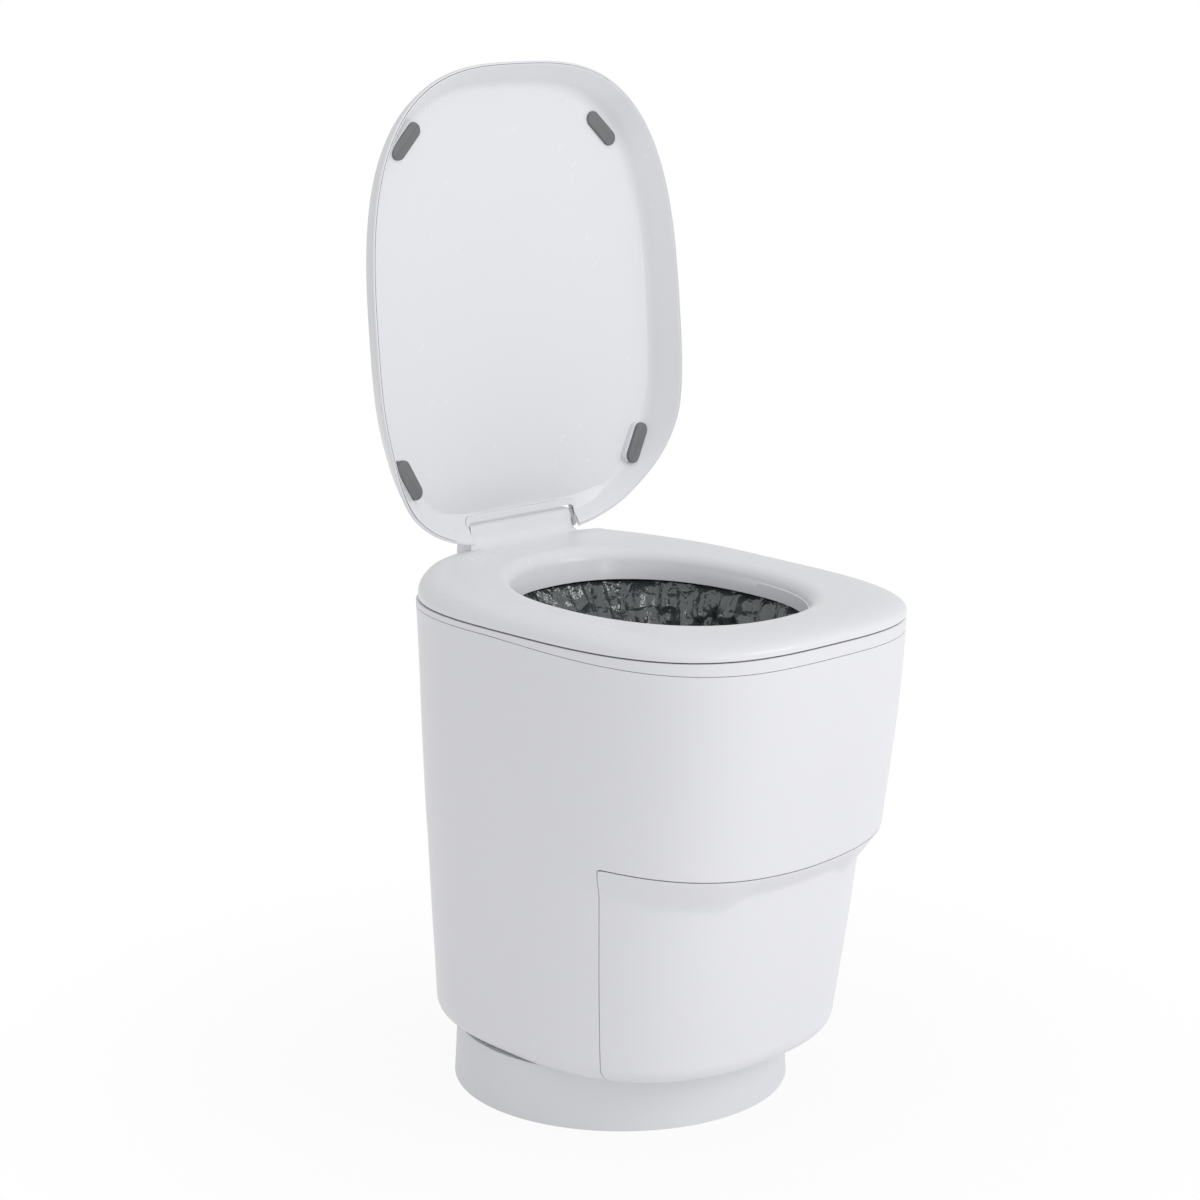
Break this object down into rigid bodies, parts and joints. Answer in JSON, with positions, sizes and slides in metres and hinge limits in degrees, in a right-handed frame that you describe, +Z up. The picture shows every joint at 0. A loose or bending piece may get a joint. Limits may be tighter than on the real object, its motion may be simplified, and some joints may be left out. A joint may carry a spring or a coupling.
{
  "type": "sealing toilet",
  "caption": "Free-standing waterless toilet with a deep hinged lid, crowned seat, heat-sealed film liner and a waste drawer in the stepped front of a tapered cabinet on a round swivel plinth.",
  "frame": {"origin": "on the floor, at the centre of the round plinth", "axes": "+Z up, -Y to the front of the toilet, +X completes the right-handed frame"},
  "size_m": [0.3844, 0.4507, 0.9537],
  "materials": {
    "white_plastic": "satin gloss moulded",
    "plinth_plastic": "satin moulded",
    "inner_plastic": "moulded",
    "slide_plastic": "low friction",
    "grey_rubber": "soft matte",
    "black_rubber": "matte",
    "steel": "zinc plated",
    "aluminium": "milled",
    "brass": "turned",
    "film": "glossy thin film",
    "board": "lacquered",
    "motor_can": "satin"
  },
  "bodies": {
    "base": {"base_ring": "plinth_plastic", "floor_gasket": "black_rubber", "glide_ring": "slide_plastic", "retainer_ring": "steel", "retainer_screws": "steel"},
    "cabinet": {"body_shell": "white_plastic", "rim_collar": "white_plastic", "mid_deck": "inner_plastic", "deck_screws": "steel", "funnel": "inner_plastic", "hanger_posts": "inner_plastic", "liner_cassette": "inner_plastic", "liner_film": "film", "fixed_jaw": "aluminium", "silicone_pad": "black_rubber", "rear_block": "aluminium", "guide_rods": "steel", "motor_bracket": "steel", "jaw_motor": "motor_can", "roller_bracket_left": "slide_plastic", "roller_bracket_right": "slide_plastic", "roller_motor": "motor_can", "control_board": "board", "board_standoffs": "inner_plastic", "power_inlet": "inner_plastic", "button_panel": "inner_plastic", "switch_board": "inner_plastic", "runner_left": "slide_plastic", "runner_right": "slide_plastic", "seat_hinge_brackets": "steel", "seat_hinge_screws": "steel", "seat_hinge_pins": "steel"},
    "seat": {"seat_ring": "white_plastic", "seat_bumpers": "black_rubber", "lid_hinge_pins": "steel", "lid_damper_left": "slide_plastic", "lid_damper_right": "slide_plastic"},
    "lid": {"lid_shell": "white_plastic", "lid_inner_panel": "white_plastic", "lid_pad_front_left": "grey_rubber", "lid_pad_front_right": "grey_rubber", "lid_pad_rear_left": "grey_rubber", "lid_pad_rear_right": "grey_rubber"},
    "drawer": {"drawer_front": "white_plastic", "drawer_tray": "inner_plastic", "drawer_slide_left": "slide_plastic", "drawer_slide_right": "slide_plastic", "drawer_screws": "steel"},
    "jaw": {"moving_jaw": "aluminium", "heater_strip": "steel", "jaw_nut": "brass"},
    "jaw_screw": {"lead_screw": "steel", "screw_coupler": "steel"},
    "drive_roller": {"drive_roller_axle": "steel", "drive_roller_sleeve": "black_rubber"},
    "nip_roller": {"nip_roller_axle": "steel", "nip_roller_sleeve": "black_rubber"},
    "small_button": {"small_load_button": "slide_plastic"},
    "large_button": {"large_load_button": "slide_plastic"}
  },
  "joints": [
    {"name": "cabinet_swivel", "type": "hinge", "parent": "base", "child": "cabinet", "pos_m": [0, 0, 0.059], "axis": [0, 0, 1], "range_deg": [-90, 90]},
    {"name": "seat_lift", "type": "hinge", "parent": "cabinet", "child": "seat", "pos_m": [0, 0.1705, 0.467], "axis": [-1, 0, 0], "range_deg": [0, 70]},
    {"name": "lid_hinge", "type": "hinge", "parent": "seat", "child": "lid", "pos_m": [0, 0.1473, 0.5132], "axis": [-1, 0, 0], "range_deg": [-94.8, 0]},
    {"name": "drawer_slide", "type": "slide", "parent": "cabinet", "child": "drawer", "axis": [0, -1, 0], "range_m": [0, 0.24]},
    {"name": "screw_turn", "type": "hinge", "parent": "cabinet", "child": "jaw_screw", "pos_m": [0, 0, 0.302], "axis": [0, 1, 0], "range_deg": [0, 1215]},
    {"name": "jaw_slide", "type": "slide", "parent": "cabinet", "child": "jaw", "axis": [0, -1, 0], "range_m": [0, 0.027]},
    {"name": "drive_roller_turn", "type": "hinge", "parent": "cabinet", "child": "drive_roller", "pos_m": [0, -0.0414, 0.2765], "axis": [1, 0, 0], "continuous": true},
    {"name": "nip_roller_turn", "type": "hinge", "parent": "cabinet", "child": "nip_roller", "pos_m": [0, -0.0586, 0.2765], "axis": [1, 0, 0], "continuous": true},
    {"name": "small_button_press", "type": "slide", "parent": "cabinet", "child": "small_button", "axis": [-1, 0, 0], "range_m": [0, 0.0015], "stiffness_N_per_m": 400},
    {"name": "large_button_press", "type": "slide", "parent": "cabinet", "child": "large_button", "axis": [-1, 0, 0], "range_m": [0, 0.0015], "stiffness_N_per_m": 400}
  ],
  "couplings": [
    {"joint": "screw_turn", "follows": "jaw_slide", "rad_per_m": 785.4},
    {"joint": "nip_roller_turn", "follows": "drive_roller_turn", "ratio": -1}
  ]
}
